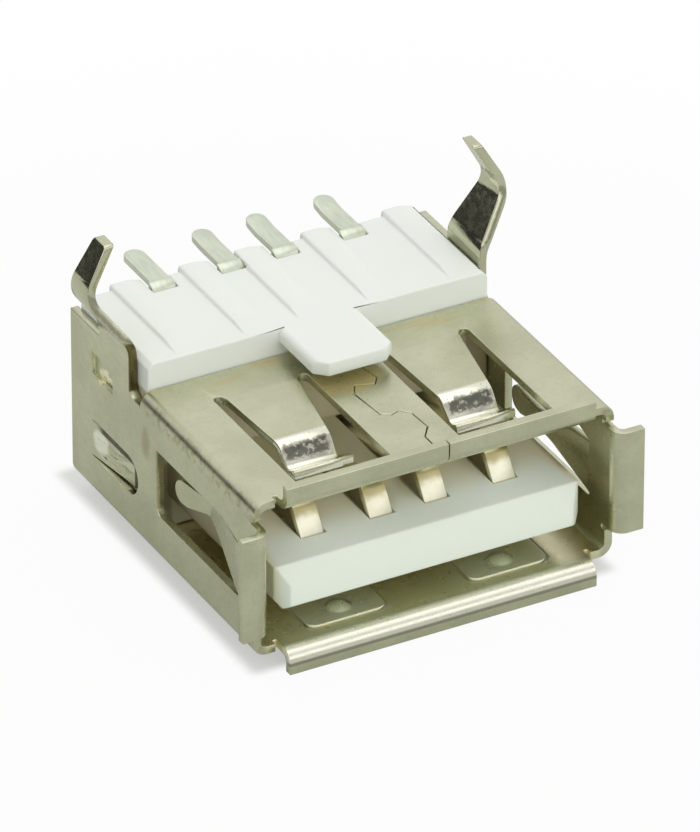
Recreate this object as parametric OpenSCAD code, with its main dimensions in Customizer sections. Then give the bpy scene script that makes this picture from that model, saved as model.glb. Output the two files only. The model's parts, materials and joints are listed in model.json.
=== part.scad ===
// USB-A board receptacle: a folded sheet-metal shell, a moulded housing with its tongue,
// and four formed contacts. The board side faces up (+Z), the mouth faces -Y.
// Inside the file, y = 0 is the mouth end of the shell's plates and z = 0 its lower face;
// placed() then moves the origin to the middle of the part's footprint.

/* [Shell] */
// Outer width of the shell across its side walls
shell_w = 13.1; // [12.9:0.05:16]
// Outer height of the shell across its two plates
shell_h = 5.7; // [5.5:0.05:7]
// Depth of the shell, from the plates' mouth end to its rear edge
shell_d = 12.6; // [12.4:0.1:18]
// Depth of the upper plate, which stops in front of the housing's block
plate_d = 7.75; // [7.7:0.05:8.2]
// Thickness of the sheet
sheet_t = 0.3; // [0.2:0.01:0.35]
// Inside radius of the sheet's bends
bend_r = 0.2; // [0.15:0.01:0.25]
// Height of the side walls' rear part above the upper plate
wall_rise = 0.65; // [0.6:0.05:0.9]

/* [Mouth flanges] */
// How far the upper flange stands out from its plate
flange_out = 0.6; // [0.5:0.01:0.9]
// How far the lower flange stands out from its plate
lower_out = 0.55; // [0.5:0.01:0.8]
// How far the side flanges stand out from the walls
side_out = 0.75; // [0.5:0.01:0.9]
// How much further forward the lower and side flanges reach than the upper one
flange_reach = 0.2; // [0.1:0.01:0.4]
// Length of the upper and lower flanges
flange_long = 11.2; // [9:0.1:11.6]
// Length of the two side flanges
flange_short = 3.8; // [3:0.1:4.4]
// Width of the relief slit at each end of a flange
relief_w = 0.14; // [0.1:0.01:0.3]
// Depth of the relief slits into the shell
relief_d = 0.24; // [0.15:0.01:0.5]

/* [Upper springs] */
// Distance of each spring's middle from the shell's middle
spring_x = 2.95; // [2.9:0.01:3.2]
// Width of each spring's window
window_w = 3.4; // [3.2:0.05:3.6]
// Width of a spring at its root
spring_root_w = 2.7; // [2.4:0.05:2.8]
// Width of a spring at its knee
spring_knee_w = 1.86; // [1.6:0.02:2.2]
// Length of a spring from its root to its knee
spring_len = 2.74; // [2.5:0.02:2.9]
// Distance from the upper plate's rear edge to the springs' roots
root_inset = 1.55; // [1.4:0.05:1.8]
// Distance from the mouth to the windows' front edge
window_front = 0.7; // [0.5:0.05:1.2]

/* [Lower springs] */
// Width of each lower spring
lower_w = 2.9; // [2.5:0.05:3.2]
// Distance from the mouth to the lower springs' free ends
lower_front = 0.25; // [0.2:0.05:0.8]
// Length of the lower springs
lower_len = 5.3; // [4.5:0.1:6]
// Width of the shear line round the lower springs
shear_gap = 0.06; // [0.05:0.01:0.1]
// Upward set of the lower springs, in degrees
lower_set = 0.7; // [0.5:0.1:1.5]

/* [Side springs] */
// Distance from the mouth to the side windows
side_front = 1.05; // [0.95:0.05:1.3]
// Length of the side windows
side_len = 5.6; // [5.5:0.05:5.8]
// Height of the side windows' lower edge
side_low = 1.75; // [1.4:0.05:1.9]
// Height of the side windows
side_h = 2.4; // [2.3:0.05:2.6]
// Inward set of the side springs, in degrees
side_set = 10; // [6:0.5:12]

/* [Tangs and stakes] */
// Width of the locking tangs
tang_w = 1.3; // [1:0.05:1.4]
// Length of the locking tangs
tang_len = 3.2; // [2.8:0.1:3.4]
// Distance of the tangs' round ends behind the upper plate
tang_gap = 0.25; // [0.2:0.01:0.4]
// Height of the tangs' middle line
tang_z = 2.2; // [1.9:0.05:2.4]
// Inward set of the tangs, in degrees
tang_set = 7; // [4:0.5:8]
// Length of the stake in each side wall
stake_l = 1.45; // [1:0.05:1.6]
// Height of the stake in each side wall
stake_h = 0.85; // [0.6:0.05:1]
// Depth to which a stake is pressed in
stake_d = 0.15; // [0.1:0.01:0.2]

/* [Legs] */
// Gap between the upper plate's rear edge and the front of each leg
leg_gap = 0.7; // [0.5:0.02:0.8]
// Width of a leg where it leaves the side wall
leg_base_w = 2.15; // [1.9:0.05:2.4]
// Width of a leg at its outward knee
leg_knee_w = 1.15; // [1:0.05:1.3]
// Width of a leg at its tip
leg_tip_w = 0.8; // [0.7:0.05:1]
// Outward lean of a leg below its knee, in degrees
lean_out = 36; // [28:1:38]
// Inward lean of a leg above its knee, in degrees
lean_in = 30; // [25:1:40]

/* [Seam] */
// Width of the interlocked seam in the upper plate
seam_w = 0.03; // [0.02:0.01:0.08]

/* [Housing] */
// Clearance between the housing and the shell, and round each contact
fit = 0.04; // [0.03:0.01:0.06]
// Width of the tongue
tongue_w = 11.1; // [10.9:0.05:11.2]
// Thickness of the tongue
tongue_t = 1.84; // [1.75:0.01:1.9]
// Gap between the tongue and the lower plate
tongue_lift = 0.7; // [0.6:0.01:0.75]
// Distance from the mouth to the tongue's front
tongue_front = 0.1; // [0.05:0.05:0.4]
// Height of the housing's board face above the upper plate
board_rise = 1.05; // [1:0.01:1.2]
// Height of the pads on the board face
pad_h = 0.12; // [0.08:0.01:0.15]
// Distance of the block's rear face from the shell's rear edge
block_inset = 0.1; // [0.05:0.01:0.3]
// Width of the key that reaches forward over the upper plate
key_w = 2.9; // [2.4:0.05:3.2]
// Reach of the key in front of the block
key_reach = 2.65; // [2:0.05:2.8]
// Thickness of the key
key_t = 0.5; // [0.4:0.01:0.6]

/* [Contacts] */
// Spacing of the two inner contacts
pitch_inner = 2; // [1.9:0.01:2.1]
// Spacing of an outer contact from the inner one beside it
pitch_outer = 2.5; // [2.4:0.01:2.6]
// Width of a contact
contact_w = 0.84; // [0.7:0.01:0.9]
// Thickness of a contact
contact_t = 0.22; // [0.18:0.01:0.25]
// Height of a contact's crown above the tongue
crown_h = 0.85; // [0.6:0.01:0.9]
// Width of a solder tail
tail_w = 0.72; // [0.6:0.01:0.8]
// Reach of the solder tails behind the housing
tail_out = 1.8; // [1.2:0.05:2.2]

/* [Hidden] */
$fn = 48;
eps = 0.01;
over = 1;
bend_step = 9;
round_steps = 6;

// Shell levels and radii
bend_mid = bend_r + sheet_t / 2;
bend_out = bend_r + sheet_t;
wall_top = shell_h + wall_rise;
inner_w = shell_w - 2 * sheet_t;
wall_mid = (shell_w - sheet_t) / 2;
plate_mid = shell_h - sheet_t / 2;
root_y = plate_d - root_inset;
side_flange_z = shell_h / 2 + 0.18;
leg_y = plate_d + leg_gap;
tang_y = plate_d + tang_gap;
stake_y = plate_d + 2.65;
stake_z = shell_h - 0.65;

// Housing levels
tongue_low = sheet_t + tongue_lift;
tongue_top = tongue_low + tongue_t;
block_y = plate_d + fit;
block_end = shell_d - block_inset;
board_z = shell_h + board_rise;
deck_z = board_z - pad_h;
block_w = inner_w - 2 * fit;

// Contact path
contact_x = [-pitch_inner / 2 - pitch_outer, -pitch_inner / 2,
             pitch_inner / 2, pitch_inner / 2 + pitch_outer];
slot_w = contact_w + 2 * fit;
slot_floor = tongue_low + 0.75;
slot_front = tongue_front + 1.5;
rise_angle = 55;
fall_angle = 14;
crown_r = 0.28;
riser_y = block_end - 0.62;
tail_z = board_z + 0.02 - contact_t / 2;
tail_end = block_end + tail_out;
run_z = slot_floor + 0.42;

// The part's footprint, whose middle is the origin
front_y = -bend_out - flange_reach;
foot_z = -lower_out;

module placed() {
    translate([0, -(front_y + tail_end) / 2, -foot_z]) children();
}

// ---- Profiles and bends -----------------------------------------------------------------

// Extrudes a profile drawn in Y and Z, centred on X
module along_x(len) {
    rotate([90, 0, 90]) linear_extrude(len, center = true) children();
}

// Extrudes a profile drawn in X and Z, from y = from to y = to
module along_y(from, to) {
    translate([0, to, 0]) rotate([90, 0, 0]) linear_extrude(to - from) children();
}

// Extrudes a profile drawn in X and Y, from z = from to z = to
module along_z(from, to) {
    translate([0, 0, from]) linear_extrude(to - from) children();
}

// Middle line of a strip of sheet bent as on a press: each step is [straight length, turn,
// bend radius], and each point comes back as [place, heading]
function strip_line(steps, i = 0, at = [0, 0], h = 0) =
    i == len(steps) ? [[at, h]] :
    let (length = steps[i][0], turn = steps[i][1], r = sign(turn) * steps[i][2],
         corner = at + length * [cos(h), sin(h)],
         middle = corner + r * [-sin(h), cos(h)],
         parts = ceil(abs(turn) / bend_step),
         arc = [for (k = [0:1:parts - 1]) let (g = h + turn * k / parts)
             [middle + r * [sin(g), -cos(g)], g]],
         end = turn == 0 ? corner : middle + r * [sin(h + turn), -cos(h + turn)])
    concat(length > 0 ? [[at, h]] : [], arc, strip_line(steps, i + 1, end, h + turn));

// The strip itself, of thickness t, which starts at the origin heading +X
module strip(steps, t) {
    line = strip_line(steps);
    last = len(line) - 1;
    side = [for (p = line) t / 2 * [-sin(p[1]), cos(p[1])]];
    polygon([for (i = [0:last]) line[i][0] + side[i],
             for (i = [last:-1:0]) line[i][0] - side[i]]);
}

// Outline whose corners are rounded: a point is [x, y], or [x, y, radius]
function plane(p) = [p[0], p[1]];
function rounded(points) = [for (i = [0:len(points) - 1])
    let (n = len(points), corner = plane(points[i]), r = len(points[i]) > 2 ? points[i][2] : 0,
         way_in = corner - plane(points[(i + n - 1) % n]),
         way_out = plane(points[(i + 1) % n]) - corner,
         h = atan2(way_in[1], way_in[0]), full = atan2(way_out[1], way_out[0]) - h,
         turn = full > 180 ? full - 360 : full < -180 ? full + 360 : full, s = sign(turn) * r,
         start = corner - r * tan(abs(turn) / 2) * [cos(h), sin(h)],
         middle = start + s * [-sin(h), cos(h)])
    each r == 0 ? [corner] : [for (k = [0:1:round_steps]) let (g = h + turn * k / round_steps)
        middle + s * [sin(g), -cos(g)]]];

// A rectangle with round corners, its lower edge on the X axis
module round_rect(w, h, r) {
    translate([-w / 2, r]) square([w, h - 2 * r]);
    translate([-w / 2 + r, 0]) square([w - 2 * r, h]);
    for (x = [-1, 1], y = [r, h - r]) translate([x * (w / 2 - r), y]) circle(r);
}

// A slot with a round end at the origin, running along -Y
module slot(w, len) {
    circle(w / 2);
    translate([-w / 2, -len]) square([w, len]);
}

// ---- Shell ------------------------------------------------------------------------------

module tube_section(h) {
    difference() {
        round_rect(shell_w, h, bend_out);
        translate([0, sheet_t]) round_rect(inner_w, h - 2 * sheet_t, bend_r);
    }
}

// The closed front part, and the open rear part whose walls stand above the plate
module shell_body() {
    along_y(0, plate_d) tube_section(shell_h);
    along_y(plate_d - eps, shell_d) intersection() {
        tube_section(wall_top + over);
        translate([-shell_w, 0]) square([2 * shell_w, wall_top]);
    }
}

// A flange turned outwards round the mouth, drawn for the lower plate. It runs straight
// forward by its reach before it bends
module flange(len, out, reach) {
    along_x(len) translate([0, sheet_t / 2]) mirror([1, 0])
        strip([[reach, -90, bend_mid], [out - bend_r, 0, 0]], sheet_t);
}

module flanges() {
    flange(flange_long, lower_out, flange_reach);
    translate([0, 0, shell_h]) rotate([0, 180, 0]) flange(flange_long, flange_out, eps);
    for (s = [-1, 1])
        translate([s * shell_w / 2, 0, side_flange_z]) rotate([0, -90 * s, 0])
            flange(flange_short, side_out, flange_reach);
}

// Short slits that let each flange fold without tearing the corner
module flange_reliefs() {
    cut = flange_out + bend_out + over;
    for (x = [-1, 1]) {
        translate([x * (flange_long + relief_w) / 2, 0, shell_h / 2])
            cube([relief_w, 2 * relief_d, shell_h + 2 * cut], center = true);
        for (z = [-1, 1])
            translate([x * shell_w / 2, 0, side_flange_z + z * (flange_short + relief_w) / 2])
                cube([2 * sheet_t + 2 * eps, 2 * relief_d, relief_w], center = true);
    }
}

// Window round an upper spring: straight outer edges with round rear ends
module upper_window() {
    w = (window_w - spring_root_w) / 2;
    h = root_y - window_front;
    for (s = [-1, 1])
        translate([s * (window_w - w) / 2, root_y]) slot(w, h);
    translate([-window_w / 2 + w / 2, window_front]) square([window_w - w, h]);
}

// Plan of an upper spring, with the small lug beside its tip
module upper_spring_plan() {
    knee_y = root_y - spring_len;
    tip_y = knee_y - 1.6;
    tip_w = spring_knee_w - 0.3;
    polygon([[-spring_root_w / 2, root_y + 0.3], [-spring_knee_w / 2, knee_y],
             [-tip_w / 2, tip_y], [spring_knee_w / 2, tip_y],
             [spring_knee_w / 2, knee_y], [spring_root_w / 2, root_y + 0.3]]);
    translate([tip_w / 2, knee_y - 1.05]) square([0.55, 0.3]);
}

module upper_spring_profile() {
    translate([root_y + 0.1, plate_mid]) mirror([1, 0])
        strip([[0.1, -6, 1], [spring_len - 0.2, -44, 0.42], [0.5, 75, 0.36], [0.16, 0, 0]],
              sheet_t);
}

module upper_springs() {
    for (s = [-1, 1]) translate([s * spring_x, 0, 0]) intersection() {
        along_x(window_w + 2) upper_spring_profile();
        along_z(0, shell_h + over) upper_spring_plan();
    }
}

// Outline of a lower spring, grown by a margin for its shear line
module lower_plan(margin) {
    round_front = 0.4;
    w = lower_w + 2 * margin;
    translate([0, lower_front - margin]) round_rect(w, lower_len + round_front, round_front);
}

module lower_springs() {
    dimple_r = 0.7;
    dimple_h = 0.16;
    dimple_y = lower_front + 0.75;
    for (s = [-1, 1]) translate([s * spring_x, 0, 0]) {
        intersection() {
            along_x(lower_w + 2)
                translate([lower_front + lower_len + 0.1, sheet_t / 2]) mirror([1, 0])
                strip([[0.1, lower_set, 8], [lower_len, 0, 0]], sheet_t);
            along_z(-over, shell_h / 2) lower_plan(0);
        }
        translate([0, dimple_y, 0]) intersection() {
            lift = (lower_len - 0.75) * sin(lower_set);
            translate([0, 0, sheet_t + lift + dimple_h - dimple_r]) sphere(dimple_r);
            translate([-over, -over, sheet_t / 2 + lift]) cube(2 * over);
        }
    }
}

module lower_windows() {
    for (s = [-1, 1]) translate([s * spring_x, 0, 0]) intersection() {
        along_z(-over, 2 * sheet_t) lower_plan(shear_gap);
        translate([-lower_w, 0, -over]) cube([2 * lower_w, lower_front + lower_len, 3]);
    }
}

// Side window, drawn in Y and Z. Its upper edge drops towards the mouth
window_drop = 0.35;

module side_window() {
    top = side_low + side_h;
    polygon(rounded([[side_front, side_low, 0.1], [side_front + side_len, side_low, 0.3],
                     [side_front + side_len, top, 0.1], [side_front + 1.15, top, 0.5],
                     [side_front, top - window_drop]]));
}

// Side spring outline, drawn in Y and Z: a broad root, a narrow neck and a round paddle
module side_spring_outline() {
    root_top = side_low + side_h - window_drop - shear_gap;
    neck_y = side_front + 2.85;
    neck_z = side_low + 1.63;
    neck_w = 0.56;
    paddle_y = side_front + 4.3;
    paddle_r = 0.43;
    paddle_z = side_low + 1 + paddle_r;
    polygon(rounded([[side_front - 0.2, side_low + 0.1], [side_front, side_low + 0.1],
                     [neck_y - 0.9, neck_z - 0.53, 1.5], [neck_y, neck_z - neck_w / 2, 0.5],
                     [paddle_y - 0.3, paddle_z - paddle_r, 0.4],
                     [paddle_y + paddle_r, paddle_z - paddle_r, paddle_r * 0.95],
                     [paddle_y + paddle_r, paddle_z + paddle_r, paddle_r * 0.95],
                     [paddle_y - 0.3, paddle_z + paddle_r, 0.4],
                     [neck_y, neck_z + neck_w / 2, 0.5], [neck_y - 1.5, root_top + 0.05, 1],
                     [side_front, root_top], [side_front - 0.2, root_top]]));
}

module side_spring_profile() {
    translate([wall_mid, side_front - 0.1]) rotate(90)
        strip([[0.1, side_set, 0.8], [2.4, -1.6 * side_set, 1], [2.2, 0, 0]], sheet_t);
}

module side_springs() {
    for (s = [0, 1]) mirror([s, 0, 0]) intersection() {
        along_z(0, shell_h) side_spring_profile();
        translate([wall_mid, 0, 0]) along_x(3) side_spring_outline();
    }
}

// Locking tang: lanced inwards at its round front end, held at its rear
module tang_outline(margin) {
    r = tang_w / 2 + margin;
    translate([tang_y + tang_w / 2, tang_z]) circle(r);
    translate([tang_y + tang_w / 2, tang_z - r]) square([tang_len - tang_w / 2, 2 * r]);
}

module tangs() {
    for (s = [0, 1]) mirror([s, 0, 0]) intersection() {
        along_z(0, shell_h) translate([wall_mid, tang_y + tang_len + 0.1]) rotate(-90)
            strip([[0.1, -tang_set, bend_r], [tang_len, 0, 0]], sheet_t);
        translate([wall_mid, 0, 0]) along_x(2) tang_outline(0);
    }
}

// Stake: a small square pressed half through the wall into the housing
module stake(w, margin) {
    l = stake_l + 2 * margin;
    h = stake_h + 2 * margin;
    translate([-w / 2, stake_y - l / 2, stake_z - h / 2]) cube([w, l, h]);
}

// Leg outline, drawn in Y and Z: square at the front of its base, tapering to the tip
module leg_outline() {
    knee_z = shell_h + 3.15;
    tip_z = shell_h + 4.55;
    knee_y = leg_y + 0.75;
    tip_y = leg_y + 0.95;
    polygon(rounded([[leg_y, shell_h - 0.4], [leg_y, wall_top + 0.7, 1.5],
                     [knee_y, knee_z, 2.5], [tip_y, tip_z + 0.12, 0.15],
                     [tip_y + leg_tip_w, tip_z + 0.12, 0.15],
                     [knee_y + leg_knee_w, knee_z, 2.5],
                     [leg_y + leg_base_w, wall_top + 0.5, 0.7],
                     [leg_y + leg_base_w, shell_h - 0.4]]));
}

module leg_profile() {
    translate([wall_mid, wall_top - 0.5]) rotate(90)
        strip([[0.78, -lean_out, 1], [1.27, lean_out + lean_in, 0.85], [1.44, 0, 0]], sheet_t);
}

module legs() {
    for (s = [0, 1]) mirror([s, 0, 0]) intersection() {
        along_y(leg_y - over, leg_y + leg_base_w + over) leg_profile();
        translate([wall_mid, 0, 0]) along_x(6) leg_outline();
    }
}

// Slot that frees each leg from the upper plate, down to where the corner's bend starts
module leg_slots() {
    low = shell_h - bend_out;
    high = wall_top + over;
    for (s = [-1, 1]) translate([s * wall_mid, 0, 0]) along_x(3)
        polygon(rounded([[plate_d - eps, low], [leg_y, low, leg_gap / 2], [leg_y, high],
                         [plate_d - eps, high]]));
}

// Seam of the upper plate: two interlocked tabs. Each point is [x, share of the plate's depth]
seam_points = [[0.5, 1.02], [0.5, 0.74], [0.62, 0.65], [0.38, 0.605], [-0.26, 0.635],
               [-0.5, 0.575], [-0.36, 0.385], [-0.06, 0.36], [0.27, 0.375], [0.56, 0.33],
               [0.62, 0.21], [0.25, 0.145], [0.25, -0.12]];

module seam() {
    points = [for (p = seam_points) [p[0], p[1] * plate_d]];
    for (i = [0:len(points) - 2]) {
        step = points[i + 1] - points[i];
        translate(points[i]) rotate(atan2(step[1], step[0]))
            translate([-seam_w / 2, -seam_w / 2]) square([norm(step) + seam_w, seam_w]);
    }
}

module shell() {
    color("#b9b79c") placed() {
        difference() {
            union() {
                difference() {
                    shell_body();
                    for (s = [-1, 1]) translate([s * spring_x, 0, 0])
                        along_z(shell_h / 2, shell_h + over) upper_window();
                    lower_windows();
                    along_x(shell_w + over) side_window();
                    for (s = [-1, 1]) translate([s * shell_w / 2, 0, 0])
                        along_x(2) tang_outline(shear_gap);
                }
                flanges();
                upper_springs();
                lower_springs();
                side_springs();
                tangs();
                legs();
                for (s = [-1, 1]) translate([s * (shell_w / 2 - sheet_t), 0, 0])
                    stake(2 * stake_d, -stake_d / 2);
            }
            flange_reliefs();
            leg_slots();
            along_z(shell_h / 2, shell_h + flange_out + over) seam();
            for (s = [-1, 1]) translate([s * shell_w / 2, 0, 0]) stake(2 * stake_d, 0);
        }
    }
}

// ---- Housing ----------------------------------------------------------------------------

// Side view of the tongue, with its front edges cut back to lead a plug in
module tongue_side() {
    polygon([[tongue_front + 0.75, tongue_low], [tongue_front, tongue_low + 0.45],
             [tongue_front, tongue_top - 0.62], [tongue_front + 0.36, tongue_top],
             [block_y + over, tongue_top], [block_y + over, tongue_low]]);
}

// Plan of the tongue, with its front corners cut off
module tongue_plan() {
    cut = 0.42;
    half = tongue_w / 2;
    polygon([[-half, block_y + over], [-half, tongue_front + cut],
             [-half + cut, tongue_front - eps], [half - cut, tongue_front - eps],
             [half, tongue_front + cut], [half, block_y + over]]);
}

// Front view of the tongue, with its lower side edges cut back
module tongue_end() {
    half = tongue_w / 2;
    cut_x = 0.45;
    cut_z = 0.62;
    polygon([[-half + cut_x, tongue_low], [half - cut_x, tongue_low],
             [half, tongue_low + cut_z], [half, tongue_top], [-half, tongue_top],
             [-half, tongue_low + cut_z]]);
}

module tongue() {
    intersection() {
        along_x(tongue_w + over) tongue_side();
        along_z(0, shell_h) tongue_plan();
        along_y(tongue_front - over, block_y + over) tongue_end();
    }
}

// The block behind the plate, clear of the bends of the lower plate
module block() {
    half = block_w / 2;
    low = sheet_t + fit;
    corner = bend_r;
    edge = 0.18;
    along_y(block_y, block_end)
        polygon([[-half + corner, low], [half - corner, low], [half, low + corner],
                 [half, deck_z - edge], [half - edge, deck_z], [-half + edge, deck_z],
                 [-half, deck_z - edge], [-half, low + corner]]);
}

// Pads on the board face: one beside each contact, one at the right-hand end.
// Each is steep on its left side, and slopes away on its right and towards the front
module pad(w) {
    run_out = 1.2;
    intersection() {
        along_y(block_y + run_out / 4, block_end + 0.18)
            polygon([[0, -0.1], [0.04, pad_h * 0.8], [0.14, pad_h], [w * 0.6, pad_h],
                     [w, 0], [w, -0.1]]);
        along_x(2 * w + over)
            polygon([[block_y, -0.1], [block_y + run_out / 4, 0],
                     [block_y + run_out, pad_h + eps], [block_end + over, pad_h + eps],
                     [block_end + over, -0.1]]);
    }
}

module pads() {
    pad_w = pitch_inner / 2 + 0.15;
    starts = [for (x = contact_x) x - pad_w - slot_w / 2];
    for (x = [each starts, contact_x[3] + 1.4]) translate([x, 0, deck_z]) pad(pad_w);
}

// The key: a flat nose with cut corners, level with the board face
module key() {
    half = key_w / 2;
    cut = 0.4;
    round_r = 0.22;
    intersection() {
        along_y(block_y - key_reach, block_y + eps)
            translate([0, deck_z - key_t]) {
                translate([-half, 0]) square([key_w, key_t - round_r]);
                translate([-half + round_r, 0]) square([key_w - 2 * round_r, key_t]);
                for (s = [-1, 1])
                    translate([s * (half - round_r), key_t - round_r]) circle(round_r);
            }
        along_z(shell_h, board_z)
            polygon([[-half, block_y + over], [-half, block_y - key_reach + cut],
                     [-half + cut, block_y - key_reach], [half - cut, block_y - key_reach],
                     [half, block_y - key_reach + cut], [half, block_y + over]]);
    }
}

// Channel for one contact: open slot in the tongue, hole through the block, open rear groove
module contact_channel() {
    hole_h = contact_t + 0.5;
    translate([-slot_w / 2, slot_front, slot_floor])
        cube([slot_w, block_y - slot_front, tongue_top]);
    translate([-slot_w / 2, block_y - 1, run_z - contact_t / 2 - fit])
        cube([slot_w, block_end, hole_h]);
    translate([-slot_w / 2, riser_y - contact_t / 2 - fit, run_z - contact_t / 2 - fit])
        cube([slot_w, block_end, board_z]);
}

module housing() {
    color("#e6efe9") placed() difference() {
        union() {
            tongue();
            block();
            pads();
            key();
        }
        for (x = contact_x) translate([x, 0, 0]) contact_channel();
        for (s = [-1, 1]) {
            translate([s * (block_w / 2 + over / 2), 0, 0]) along_x(over + 1.1)
                tang_outline(2 * shear_gap);
            translate([s * block_w / 2, 0, 0]) stake(2 * stake_d + 2 * fit, fit);
        }
    }
}

// ---- Contacts ---------------------------------------------------------------------------

// Side view of a contact, from its tip in the tongue to its solder tail.
// The rise from the tip and the fall behind the crown meet the level run at run_z
crown_z = tongue_top + crown_h - contact_t / 2;
tip_rise = 1.05;
tip_y = slot_front + fit + contact_t / 2 * sin(rise_angle);
tip_z = crown_z - crown_r * (1 - cos(rise_angle)) - tip_rise * sin(rise_angle);
fall_r = 2;
fall_drop = crown_z - run_z - (crown_r + fall_r) * (1 - cos(fall_angle));
fall_len = fall_drop / sin(fall_angle);
fall_end = tip_y + tip_rise * cos(rise_angle) + crown_r * sin(rise_angle)
    + (crown_r + fall_r) * sin(fall_angle) + fall_len * cos(fall_angle);
riser_r = 0.3;

module contact_side(end_set) {
    translate([tip_y, tip_z]) rotate(rise_angle)
        strip([[tip_rise, -rise_angle - fall_angle, crown_r],
               [fall_len, fall_angle, fall_r],
               [riser_y - fall_end - riser_r, 90, riser_r],
               [tail_z - run_z - 2 * riser_r, -90, riser_r],
               [(tail_end - riser_y) / 2, end_set, 1],
               [(tail_end - riser_y) / 2 + over, 0, 0]], contact_t);
}

// Plan of a contact: full width to the riser, then the narrower tail with its round end
module contact_plan() {
    translate([-contact_w / 2, 0]) square([contact_w, riser_y + riser_r]);
    translate([-tail_w / 2, 0]) square([tail_w, tail_end - tail_w / 2]);
    translate([0, tail_end - tail_w / 2]) circle(tail_w / 2);
}

module contact(i, end_set = 0) {
    color(i == 0 || i == 3 ? "#d9cf9a" : "#d6cd9c") placed() translate([contact_x[i], 0, 0])
        intersection() {
            along_x(contact_w + over) contact_side(end_set);
            along_z(0, 2 * shell_h) contact_plan();
        }
}

module contact_1() { contact(0); }
module contact_2() { contact(1, 5); }
module contact_3() { contact(2, 7); }
module contact_4() { contact(3, 8); }

shell();
housing();
contact_1();
contact_2();
contact_3();
contact_4();
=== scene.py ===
import json
from math import pi, radians
import bpy
from mathutils import Matrix, Vector

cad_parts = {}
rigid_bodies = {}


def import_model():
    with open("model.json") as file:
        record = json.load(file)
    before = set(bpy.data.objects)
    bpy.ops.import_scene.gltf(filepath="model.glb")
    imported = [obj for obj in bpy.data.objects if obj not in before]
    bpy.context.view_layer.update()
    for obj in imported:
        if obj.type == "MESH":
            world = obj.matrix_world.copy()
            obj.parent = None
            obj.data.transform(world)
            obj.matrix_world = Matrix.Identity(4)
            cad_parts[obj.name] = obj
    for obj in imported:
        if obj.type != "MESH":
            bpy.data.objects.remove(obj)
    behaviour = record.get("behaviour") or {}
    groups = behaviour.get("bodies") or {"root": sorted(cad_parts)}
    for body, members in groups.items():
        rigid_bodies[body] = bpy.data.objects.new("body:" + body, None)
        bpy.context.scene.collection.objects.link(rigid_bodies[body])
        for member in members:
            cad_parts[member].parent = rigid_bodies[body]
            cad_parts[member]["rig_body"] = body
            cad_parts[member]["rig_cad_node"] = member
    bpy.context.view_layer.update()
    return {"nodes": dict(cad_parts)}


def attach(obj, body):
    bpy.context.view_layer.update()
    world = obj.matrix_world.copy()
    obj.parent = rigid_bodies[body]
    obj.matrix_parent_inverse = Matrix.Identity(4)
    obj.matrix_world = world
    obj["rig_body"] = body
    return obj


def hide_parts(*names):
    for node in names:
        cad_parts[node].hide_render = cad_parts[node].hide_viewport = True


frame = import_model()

# ---- Sizes, in millimetres ----------------------------------------------------------------

MM = 0.001            # a millimetre in Blender's metres
PLATE_TOP = 6.25      # height of the upper plate's face
PLATE_REAR = 0.95     # where the upper plate ends under the housing's block
WALL = 6.55           # outer face of a side wall

SHEET_EDGE = 0.035    # how far the cut edges of each piece are broken
MOULDED_EDGE = 0.04
CONTACT_EDGE = 0.025
MERGE = 0.0005        # points nearer than this are one point

# ---- Angles, in degrees -------------------------------------------------------------------

FLAT = 0.5            # faces that turn less than this are one face
CORNER = 35           # edges sharper than this are broken
SMOOTH = 40           # edges softer than this are shaded as one curve

# ---- Colours ------------------------------------------------------------------------------

NICKEL_LIGHT = (0.66, 0.665, 0.485, 1)
NICKEL_DEEP = (0.59, 0.595, 0.43, 1)
NICKEL_MOTTLE = (0.50, 0.495, 0.37, 1)
NICKEL_INSIDE_PAINTED_LIGHT = (0.86, 0.82, 0.57, 1)
NICKEL_PAINTED_SHEEN = (1.0, 1.0, 0.84, 1)
CREST_PAINTED_HIGHLIGHT = (0.95, 0.93, 0.80, 1)
CREST_SCUFF = (0.55, 0.52, 0.40, 1)
CREST_PAINTED_DARK_LINE = (0.30, 0.29, 0.24, 1)
TIP_PAINTED_HIGHLIGHT = (0.90, 0.89, 0.75, 1)
TIP_SCUFF = (0.45, 0.44, 0.34, 1)
TIP_PAINTED_DARK_REFLECTION = (0.27, 0.27, 0.22, 1)
YELLOW_BROWN_PATCH = (0.50, 0.44, 0.20, 1)
REAR_STREAK = (0.60, 0.49, 0.25, 1)
BEND_DARK_MOTTLE = (0.36, 0.32, 0.20, 1)
RUB_MARK = (0.34, 0.28, 0.14, 1)
BRASSY_PAINTED_GLINT = (1.0, 0.93, 0.66, 1)
LEFT_FOOT_DARK_EDGE = (0.17, 0.15, 0.07, 1)
POCKET_PAINTED_HIGHLIGHT = (0.98, 0.98, 0.86, 1)
POCKET_SHADE = (0.10, 0.10, 0.06, 1)

PLASTIC_LIGHT = (0.84, 0.875, 0.835, 1)
PLASTIC_DEEP = (0.825, 0.865, 0.82, 1)
PLASTIC_TONGUE_PAINTED_LIGHTER = (0.845, 0.91, 0.82, 1)
PLASTIC_INNER_PAINTED_SHADE = (0.80, 0.74, 0.50, 1)
PLASTIC_FLANK_PAINTED_SHADE = (0.48, 0.44, 0.29, 1)

GOLD_LIGHT = (0.92, 0.90, 0.74, 1)
GOLD_DEEP = (0.88, 0.85, 0.66, 1)
GOLD_CROWN_PAINTED_SHADE = (0.56, 0.50, 0.28, 1)
TIN_LIGHT = (0.76, 0.81, 0.68, 1)
TIN_DEEP = (0.68, 0.73, 0.61, 1)

FLOOR_PAPER = (0.57, 0.59, 0.54, 1)
ROOM_WHITE = (1, 1, 0.98, 1)
PURE_WHITE = (1, 1, 1, 1)


# ---- Camera -------------------------------------------------------------------------------

CAMERA_PLACE = Vector((-141.644, -262.996, 187.560)) * MM
CAMERA_ACROSS = Vector((0.87990014, -0.47515738, 0.00109653))
CAMERA_UP = Vector((0.24794151, 0.46110619, 0.85200123))


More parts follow.
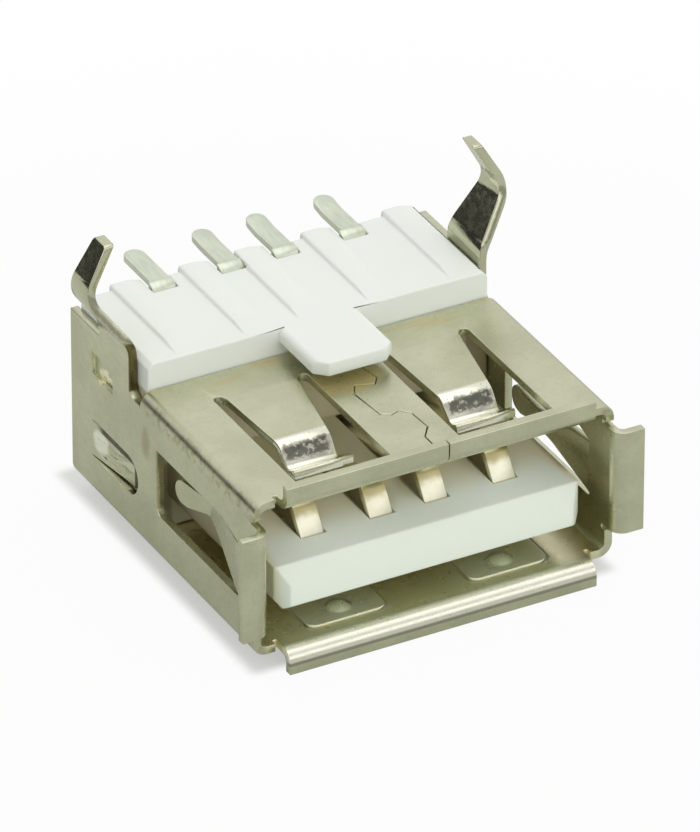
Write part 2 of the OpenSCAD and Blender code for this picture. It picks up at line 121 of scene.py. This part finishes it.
def place_camera():
    """A long lens, so that the sides run almost parallel."""
    back = CAMERA_ACROSS.cross(CAMERA_UP)
    turn = Matrix((CAMERA_ACROSS, CAMERA_UP, back)).transposed().to_4x4()
    bpy.ops.object.camera_add()
    camera = bpy.context.object
    camera.name = "camera"
    camera.matrix_world = Matrix.Translation(CAMERA_PLACE) @ turn
    camera.data.lens = 469.47
    camera.data.sensor_width = 36
    camera.data.clip_start = 0.05
    camera.data.clip_end = 20
    bpy.context.scene.camera = camera


# ---- Shader maths -------------------------------------------------------------------------

class Number:
    """A value in a finish. Python's operators on it add the Math nodes."""

    def __init__(self, finish, socket):
        self.finish = finish
        self.socket = socket

    def _maths(self, operation, *values):
        return self.finish.node("ShaderNodeMath", {"operation": operation},
                                dict(enumerate(values)))

    def __add__(self, other):
        return self._maths("ADD", self, other)

    def __radd__(self, other):
        return self._maths("ADD", other, self)

    def __sub__(self, other):
        return self._maths("SUBTRACT", self, other)

    def __rsub__(self, other):
        return self._maths("SUBTRACT", other, self)

    def __mul__(self, other):
        return self._maths("MULTIPLY", self, other)

    def __rmul__(self, other):
        return self._maths("MULTIPLY", other, self)

    def __truediv__(self, other):
        return self._maths("DIVIDE", self, other)

    def __pow__(self, other):
        return self._maths("POWER", self, other)

    def __neg__(self):
        return self._maths("MULTIPLY", self, -1)

    def __abs__(self):
        return self._maths("ABSOLUTE", self)


class Finish:
    """The nodes of one material or world. Patterns are in millimetres on the object."""

    def __init__(self, owner):
        self.owner = owner
        owner.use_nodes = True
        self.tree = owner.node_tree
        self.tree.nodes.clear()

    def node(self, kind, settings=None, values=None, output=0):
        made = self.tree.nodes.new(kind)
        for name, value in (settings or {}).items():
            setattr(made, name, value)
        for name, value in (values or {}).items():
            if isinstance(value, Number):
                self.tree.links.new(value.socket, made.inputs[name])
            else:
                made.inputs[name].default_value = value
        return Number(self, made.outputs[output])

    def surface(self):
        """Place on the object, in millimetres, as a vector and as three numbers."""
        place = self.node("ShaderNodeTexCoord", output="Object")
        place = self.node("ShaderNodeVectorMath", {"operation": "SCALE"},
                          {0: place, "Scale": 1 / MM})
        return place, self.split(place)

    def split(self, vector):
        axes = self.node("ShaderNodeSeparateXYZ", {}, {0: vector}).socket.node.outputs
        return [Number(self, axis) for axis in axes]

    def ray(self, kind):
        """1 for one kind of ray, such as Camera, and 0 for the others."""
        return self.node("ShaderNodeLightPath", output="Is %s Ray" % kind)

    def stretch(self, place, scale):
        return self.node("ShaderNodeMapping", {}, {"Vector": place, "Scale": scale})

    def noise(self, place, scale, detail=2, rough=0.5):
        return self.node("ShaderNodeTexNoise", {},
                         {"Vector": place, "Scale": scale, "Detail": detail,
                          "Roughness": rough})

    def ease(self, value, low, high):
        """0 below low, 1 above high, and smooth between; falls when low is above high."""
        if low > high:
            return 1 - self.ease(value, high, low)
        return self.node("ShaderNodeMapRange", {"interpolation_type": "SMOOTHSTEP"},
                         {"Value": value, "From Min": low, "From Max": high})

    def band(self, value, start, full, fade, end):
        """Rises from start to full, holds 1, and falls from fade to end."""
        return self.ease(value, start, full) * self.ease(value, end, fade)

    def spot(self, axes, centre, size):
        """1 in the middle of an ellipsoid of that size and 0 outside it."""
        far = sum(((a - c) / s) ** 2 for a, c, s in zip(axes, centre, size))
        return self.ease(far, 1, 0)

    def blend(self, share, first, second):
        """The first colour where share is 0 and the second where it is 1."""
        return self.node("ShaderNodeMix", {"data_type": "RGBA"},
                         {0: share, 6: first, 7: second}, 2)

    def cloudy(self, noise, first, second, low=0.35, high=0.65):
        """Two close colours that drift into each other with a noise."""
        return self.blend(self.ease(noise, low, high), first, second)

    def relief(self, height, soft_edge=0.03):
        """Bump from a height in millimetres, over edges that look rounded."""
        edge = self.node("ShaderNodeBevel", {"samples": 6}, {"Radius": soft_edge * MM})
        return self.node("ShaderNodeBump", {}, {"Strength": 1, "Distance": MM,
                                                "Height": height, "Normal": edge})

    def coat(self, colour, roughness, normal, metal, fixed=None):
        """Ends the finish as one shader; fixed values go on the shader's own sockets."""
        values = {"Base Color": colour, "Roughness": roughness, "Metallic": metal,
                  "Normal": normal}
        values.update(fixed or {})
        self.end("ShaderNodeOutputMaterial",
                 self.node("ShaderNodeBsdfPrincipled", {}, values))
        return self.owner

    def end(self, kind, shader):
        last = self.tree.nodes.new(kind)
        self.tree.links.new(shader.socket, last.inputs[0])


# ---- Nickel on the shell ------------------------------------------------------------------
# Each function below paints one region. side is the distance from the middle plane.

def mouth_painted_light(f, colour, speckle, side, y, z):
    """Painted light on the lower plate and lower flange: a lighter nickel inside, spring
    sheen, a highlight and a dark line.
    """
    # painted light: a lighter, warmer copy of the nickel on the plate inside the mouth,
    # standing in for the light reflected in there
    inside = f.ease(z, 1.7, 1.3) * f.ease(y, -7.05, -6.85) * f.ease(side, 6.2, 6.0)
    colour = f.blend(inside, colour, NICKEL_INSIDE_PAINTED_LIGHT)
    # two painted lighter strips, standing in for the sheen the tilted lower springs catch,
    # as wide as the lower springs;
    # they start at the springs' front ends and run on past the springs to the plate's rear
    # edge
    spring_middle = 2.95
    spring_sheen = f.ease(abs(side - spring_middle), 1.52, 1.46) * f.ease(y, -6.75, -6.5)
    colour = f.blend(inside * spring_sheen, colour, NICKEL_PAINTED_SHEEN)
    # a painted highlight on the crest of the lower flange, with darker specks, and a painted
    # dark reflection line in its outer face
    crest = f.band(z, 0.3, 0.5, 1.0, 1.2) * f.ease(y, -6.9, -7.05)
    crest = crest * f.ease(side, 5.75, 5.55)
    colour = f.blend(crest, colour, CREST_PAINTED_HIGHLIGHT)
    colour = f.blend(crest * speckle * 0.5, colour, CREST_SCUFF)
    dark_line = f.band(z, 0.30, 0.34, 0.40, 0.46) * f.ease(y, -7.3, -7.4)
    return f.blend(dark_line * 0.8, colour, CREST_PAINTED_DARK_LINE)


def spring_tips(f, colour, place, speckle, side, y, z):
    """Upper springs: painted highlights on the bends round a ragged panel of painted dark
    reflection on the slope.
    """
    # painted highlight over the bends of each spring tip, with darker specks
    tip = f.ease(y, -3.15, -3.25) * f.ease(y, -4.6, -4.5)
    tip = tip * f.band(z, 4.7, 4.9, 6.0, 6.1) * f.ease(side, 4.6, 4.4)
    colour = f.blend(tip, colour, TIP_PAINTED_HIGHLIGHT)
    colour = f.blend(tip * speckle * 0.6, colour, TIP_SCUFF)
    # a ragged panel of painted dark reflection on the tip's slope
    ragged = f.noise(place, 4.5, 3, 0.65) - 0.5
    panel_middle = 2.98
    panel = f.ease(abs(side - panel_middle) + ragged * 0.5, 0.86, 0.70)
    panel = panel * f.ease(y + ragged * 0.25, -3.90, -3.82)
    panel = panel * f.ease(y + ragged * 0.2, -3.44, -3.56)
    panel = panel * f.ease(ragged, 0.17, 0.02)
    return f.blend(tip * panel, colour, TIP_PAINTED_DARK_REFLECTION), tip


def plate_patches_and_streaks(f, colour, place, x, side, y, z):
    """A yellow-brown patch and streaks on the upper plate, and brown mottling along its
    bends.
    """
    on_plate = f.ease(z, PLATE_TOP - 0.15, PLATE_TOP - 0.02)
    # a yellow-brown patch beside the seam, under the key
    yellow_patch = f.spot((x, y, z), (-0.45, -1.45, PLATE_TOP), (1.9, 1.1, 0.6))
    yellow_patch = yellow_patch * (0.2 + 1.6 * f.noise(place, 1.3, 3))
    yellow_patch = f.ease(yellow_patch, 0.05, 0.75) * on_plate
    colour = f.blend(yellow_patch, colour, YELLOW_BROWN_PATCH)
    # faint streaks along the rear of the plate, and not on the legs above it
    rear = f.ease(y, PLATE_REAR - 1.5, PLATE_REAR - 0.1) * on_plate
    rear = rear * f.ease(z, PLATE_TOP + 0.15, PLATE_TOP + 0.05) * f.ease(side, 6.3, 6.1)
    streak = f.noise(f.stretch(place, (0.5, 2.2, 1)), 1.3, 3)
    streak = f.ease(streak, 0.45, 0.7) * rear
    colour = f.blend(streak * 0.85, colour, REAR_STREAK)
    # the bend between plate and wall, and the strip of wall just below it
    bend = f.ease(side, 6.05, 6.2) * f.band(z, 5.5, 5.75, 6.1, 6.2)
    bend = bend * f.ease(y, PLATE_REAR, PLATE_REAR - 0.25)
    bend = bend * f.ease(f.noise(place, 3.5, 3, 0.6), 0.46, 0.6)
    return f.blend(bend * 0.5, colour, BEND_DARK_MOTTLE), yellow_patch, streak


def wall_marks_and_glint(f, colour, place, x, side, y, z):
    """A rub mark, a painted brassy glint at the pressed stakes, and a dark edge at the left
    foot.
    """
    rub = f.spot((x, y, z), (-WALL, 0.55, 4.6), (0.4, 0.35, 0.75))
    colour = f.blend(rub * 0.5, colour, RUB_MARK)
    # painted highlight: a brassy glint in each pressed stake
    stake_glint = f.spot((side, y, z), (WALL, 3.55, 5.4), (0.4, 0.62, 0.36))
    stake_glint = stake_glint * f.ease(f.noise(place, 3, 2), 0.4, 0.55)
    colour = f.blend(f.ease(stake_glint, 0.05, 0.3), colour, BRASSY_PAINTED_GLINT)
    # a dark edge at the left foot, on the left side only
    dark_edge = f.band(y, 1.3, 1.4, 1.68, 1.72) * f.ease(-x, 6.1, 6.2)
    dark_edge = dark_edge * f.ease(z, 5.85, 6.0)
    return f.blend(dark_edge, colour, LEFT_FOOT_DARK_EDGE)


def tang_pockets(f, colour, place, side, y, z):
    """Each rear tang is drawn into a shallow pocket: streaked, with a painted highlight
    along the streaks and at its root, and dark where the wall's edge overhangs it."""
    pocket = f.spot((side, y, z), (WALL - 0.1, 2.9, 2.7), (0.8, 1.6, 0.75))
    root = f.spot((side, y, z), (WALL - 0.1, 3.85, 2.8), (0.8, 0.6, 0.62))
    drawn = f.noise(f.stretch(place, (1, 1.1, 4.5)), 1, 2)
    # painted highlight along the drawn streaks and at the tang's root
    bright = f.ease(pocket, 0.05, 0.5) * f.ease(drawn, 0.40, 0.6)
    bright = f.ease(0.45 * bright + root * (0.4 + 1.6 * drawn), 0.15, 1)
    colour = f.blend(bright, colour, POCKET_PAINTED_HIGHLIGHT)
    recessed = f.band(side, 5.9, 6.0, 6.46, 6.52) * f.ease(abs(y - 2.7), 1.5, 1.4)
    recessed = recessed * f.band(z, 1.9, 2.0, 3.45, 3.55)
    tang_slope = 0.159
    overhung = f.ease(z + tang_slope * (4.4 - y), 3.22, 3.32) + f.ease(y, 1.98, 1.86)
    overhung = f.ease(overhung, 0, 1)
    return f.blend(recessed * overhung, colour, POCKET_SHADE), pocket, drawn


def sheet_nickel():
    """Nickel on cold-rolled sheet: cloudy warm grey, rolling lines, stains, patches and fine
    wear, with painted highlights, reflections and shade.
    """
    f = Finish(bpy.data.materials.new("nickel_on_sheet"))
    place, (x, y, z) = f.surface()
    side = abs(x)
    cloud = f.noise(place, 0.55, 3)
    mottle = f.noise(place, 4, 3, 0.6)
    peel = f.noise(place, 7, 1)
    dent = f.noise(place, 1.7, 2)
    rolled = f.noise(f.stretch(place, (0.35, 8, 8)), 1, 2, 0.6)
    speckle = f.ease(f.noise(place, 14, 2), 0.62, 0.72)

    colour = f.cloudy(cloud, NICKEL_LIGHT, NICKEL_DEEP)
    colour = f.blend(f.ease(mottle, 0.45, 0.8) * 0.35, colour, NICKEL_MOTTLE)
    colour = mouth_painted_light(f, colour, speckle, side, y, z)
    colour, tip = spring_tips(f, colour, place, speckle, side, y, z)
    colour, yellow_patch, streak = plate_patches_and_streaks(f, colour, place, x, side, y, z)
    colour = wall_marks_and_glint(f, colour, place, x, side, y, z)
    colour, pocket, drawn = tang_pockets(f, colour, place, side, y, z)

    # plate and walls keep the mill's satin; spring tips, legs and pockets are burnished
    above = f.ease(z, PLATE_TOP + 0.3, PLATE_TOP + 0.6)
    formed = f.ease(tip + above + pocket, 0.2, 0.8)
    rough = 0.27 + 0.08 * f.ease(mottle, 0.3, 0.8) + 0.08 * streak - 0.13 * formed
    height = mottle * (0.0004 + 0.0028 * formed) + rolled * 0.0006 + peel * 0.0003
    height = height + dent * 0.008 * above + pocket * (0.16 * drawn - 0.14)
    metal = 1 - 0.6 * yellow_patch - 0.3 * streak
    return f.coat(colour, rough, f.relief(height), metal)


# ---- Plastic and contacts -----------------------------------------------------------------

def housing_plastic():
    """Cool white moulded plastic, satin, with a fine spark-eroded grain, painted lighter on
    the tongue and painted with shade inside the shell.
    """
    f = Finish(bpy.data.materials.new("white_moulding"))
    place, (x, y, z) = f.surface()
    side = abs(x)
    flow = f.noise(f.stretch(place, (0.4, 0.25, 0.6)), 1, 3)
    grain = f.noise(place, 16, 2)
    colour = f.cloudy(flow, PLASTIC_LIGHT, PLASTIC_DEEP)
    # the tongue, down in the shell's shade, is painted a lighter, greener copy of the
    # plastic
    colour = f.blend(f.ease(z, 5.0, 4.0), colour, PLASTIC_TONGUE_PAINTED_LIGHTER)
    # painted olive shade inside the shell, away from the mouth, for the shade and the light
    # the nickel bounces there, and darker painted shade at the sides
    in_shell = f.ease(z, 6.2, 6.0) * f.ease(y, 3.4, 1.6)
    inner_shade = in_shell * f.ease(y + 2 * f.ease(side, 5.0, 5.6), -5.6, -3.6)
    colour = f.blend(inner_shade * 0.85, colour, PLASTIC_INNER_PAINTED_SHADE)
    flank_shade = in_shell * f.ease(side, 5.3, 5.5) * f.ease(y, -5.9, -5.2)
    colour = f.blend(flank_shade, colour, PLASTIC_FLANK_PAINTED_SHADE)
    rough = 0.36 + 0.1 * f.ease(grain, 0.3, 0.7)
    height = grain * 0.0012 + flow * 0.004
    return f.coat(colour, rough, f.relief(height, 0.09), 0.0,
                  {"Subsurface Weight": 0.3, "Subsurface Radius": (0.0012, 0.0011, 0.0009)})


def contact_metal():
    """Gold over the crowns in the mouth, with painted shade on their tops, and matt tin on
    the solder tails.
    """
    f = Finish(bpy.data.materials.new("gold_and_tin"))
    place, (x, y, z) = f.surface()
    cloud = f.noise(place, 2.2, 3)
    grain = f.noise(f.stretch(place, (7, 1.5, 7)), 1, 3)
    gold = f.cloudy(cloud, GOLD_LIGHT, GOLD_DEEP)
    # painted shade on the crown tops under the upper flange, brown-gold like the flange's
    # reflection
    gold = f.blend(f.ease(z + cloud * 0.3, 3.88, 4.12), gold, GOLD_CROWN_PAINTED_SHADE)
    tin = f.cloudy(grain, TIN_LIGHT, TIN_DEEP, high=0.7)
    tinned = f.ease(y + cloud * 0.8, 3.2, 4.2)
    colour = f.blend(tinned, gold, tin)
    rough = 0.26 + 0.1 * cloud + 0.08 * tinned
    height = grain * 0.0012 + cloud * 0.002
    return f.coat(colour, rough, f.relief(height, 0.025), 1.0)


# ---- Pieces -------------------------------------------------------------------------------

def edit_all():
    """Into edit mode, with the whole mesh selected."""
    bpy.ops.object.mode_set(mode="EDIT")
    bpy.ops.mesh.select_all(action="SELECT")


def resize_all(factor):
    bpy.ops.transform.resize(value=(factor,) * 3, center_override=(0, 0, 0))


def refined(node, name, material, edge):
    """A copy of a CAD node with its triangles merged, its edges broken and its bends smooth.
    It is worked on at a thousand times its size, because the tools are coarse when small."""
    bpy.ops.object.select_all(action="DESELECT")
    source = frame["nodes"][node]
    source.select_set(True)
    bpy.context.view_layer.objects.active = source
    bpy.ops.object.duplicate()
    piece = bpy.context.object
    piece.name = name
    piece.parent = None
    piece.matrix_world = Matrix.Identity(4)
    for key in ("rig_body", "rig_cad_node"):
        if key in piece:
            del piece[key]
    bpy.ops.mesh.customdata_custom_splitnormals_clear()
    edit_all()
    resize_all(1 / MM)
    bpy.ops.mesh.remove_doubles(threshold=MERGE)
    bpy.ops.mesh.dissolve_limited(angle_limit=radians(FLAT))
    bpy.ops.object.mode_set(mode="OBJECT")
    broken = piece.modifiers.new("broken_edges", "BEVEL")
    broken.width = edge
    broken.segments = 2
    broken.limit_method = "ANGLE"
    broken.angle_limit = radians(CORNER)
    broken.use_clamp_overlap = False
    bpy.ops.object.modifier_apply(modifier=broken.name)
    edit_all()
    resize_all(MM)
    bpy.ops.object.mode_set(mode="OBJECT")
    bpy.ops.object.shade_smooth_by_angle(angle=radians(SMOOTH))
    even = piece.modifiers.new("flat_faces_stay_flat", "WEIGHTED_NORMAL")
    even.keep_sharp = True
    even.weight = 80
    bpy.ops.object.modifier_apply(modifier=even.name)
    piece.data.materials.clear()
    piece.data.materials.append(material)
    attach(piece, "root")
    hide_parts(node)


# ---- Light and floor ----------------------------------------------------------------------

def white_floor():
    """A pale floor that shows white to the camera and keeps a soft shadow."""
    bpy.ops.object.select_all(action="DESELECT")
    bpy.ops.mesh.primitive_plane_add(size=2)
    floor = bpy.context.object
    floor.name = "floor"
    f = Finish(bpy.data.materials.new("pale_floor"))
    x, y = f.surface()[1][:2]
    # less white is added under the part and a little less round it, so the rendered shadow
    # shows; this also paints the floor there darker, as shade
    under_loss, around_loss, mirrored_white = 0.5, 0.05, 0.12
    under = f.ease(abs(x), 6.9, 6.3) * f.ease(abs(y), 7.2, 6.6)
    around = f.ease((x * x + y * y) ** 0.5, 40, 14)
    share = f.ray("Camera") * (1 - around_loss * around - under_loss * under)
    share = share + mirrored_white * f.ray("Glossy") + f.ray("Transmission")
    paper = f.node("ShaderNodeBsdfDiffuse", {}, {"Color": FLOOR_PAPER})
    white = f.node("ShaderNodeEmission", {}, {"Color": PURE_WHITE, "Strength": 1})
    f.end("ShaderNodeOutputMaterial",
          f.node("ShaderNodeMixShader", {}, {0: share, 1: paper, 2: white}))
    floor.data.materials.append(f.owner)


def front_lamp():
    """A square soft lamp low in front, which faces the part and isn't mirrored in it."""
    place = Vector((0.05, -0.42, 0.14))
    width = 0.3
    brightness = 1.1
    bpy.ops.object.light_add(type="AREA", location=place)
    lamp = bpy.context.object
    lamp.name = "lamp_front"
    lamp.rotation_euler = (-place).to_track_quat("-Z", "Y").to_euler()
    lamp.data.shape = "RECTANGLE"
    lamp.data.size = width
    lamp.data.size_y = width
    lamp.data.energy = brightness * pi * width * width
    lamp.visible_glossy = False


def studio():
    """A light tent: bright overhead and in front, with dark gaps, and dark low to the left.
    Directions are unit vectors, so z is the sine of the height above the horizon. Metal
    mirrors the tent; matt surfaces are lit by a plainer level, darker on the left."""
    tent_level, overhead_gain, panel_gain = 0.83, 0.5, 0.45
    gap_loss, low_loss, left_back_loss = 0.6, 0.6, 0.96
    plain_level, plain_left_loss = 1.0, 0.55
    world = bpy.data.worlds.new("studio")
    bpy.context.scene.world = world
    f = Finish(world)
    x, y, z = f.split(f.node("ShaderNodeTexCoord", output="Generated"))
    front = f.ease(y, -0.05, -0.3)
    overhead = f.ease(z, 0.78, 0.88)
    panel = front * f.band(z, 0.24, 0.32, 0.56, 0.60)
    gap = front * f.band(z, 0.56, 0.60, 0.69, 0.74)
    low = front * f.ease(z, 0.26, 0.18)
    left_back = f.ease(y - x, 0.55, 0.9) * f.ease(z, 0.38, 0.28)
    tent = tent_level + overhead_gain * overhead + panel_gain * panel
    tent = tent * (1 - gap_loss * gap) * (1 - low_loss * low)
    tent = tent * (1 - left_back_loss * left_back)
    left = f.ease(x, -0.15, -0.55) * f.ease(z, 0.7, 0.4)
    plain = plain_level - plain_left_loss * left
    level = tent + f.ray("Diffuse") * (plain - tent)
    room = f.node("ShaderNodeBackground", {}, {"Color": ROOM_WHITE, "Strength": level})
    white = f.node("ShaderNodeBackground", {}, {"Color": PURE_WHITE, "Strength": 1})
    f.end("ShaderNodeOutputWorld",
          f.node("ShaderNodeMixShader", {}, {0: f.ray("Camera"), 1: room, 2: white}))


place_camera()
refined("shell", "shell_sheet", sheet_nickel(), SHEET_EDGE)
refined("housing", "housing_moulding", housing_plastic(), MOULDED_EDGE)
contacts = contact_metal()
for i in (1, 2, 3, 4):
    refined("contact_%d" % i, "contact_strip_%d" % i, contacts,
            CONTACT_EDGE)
white_floor()
studio()
front_lamp()
bpy.context.scene.view_settings.view_transform = "Standard"
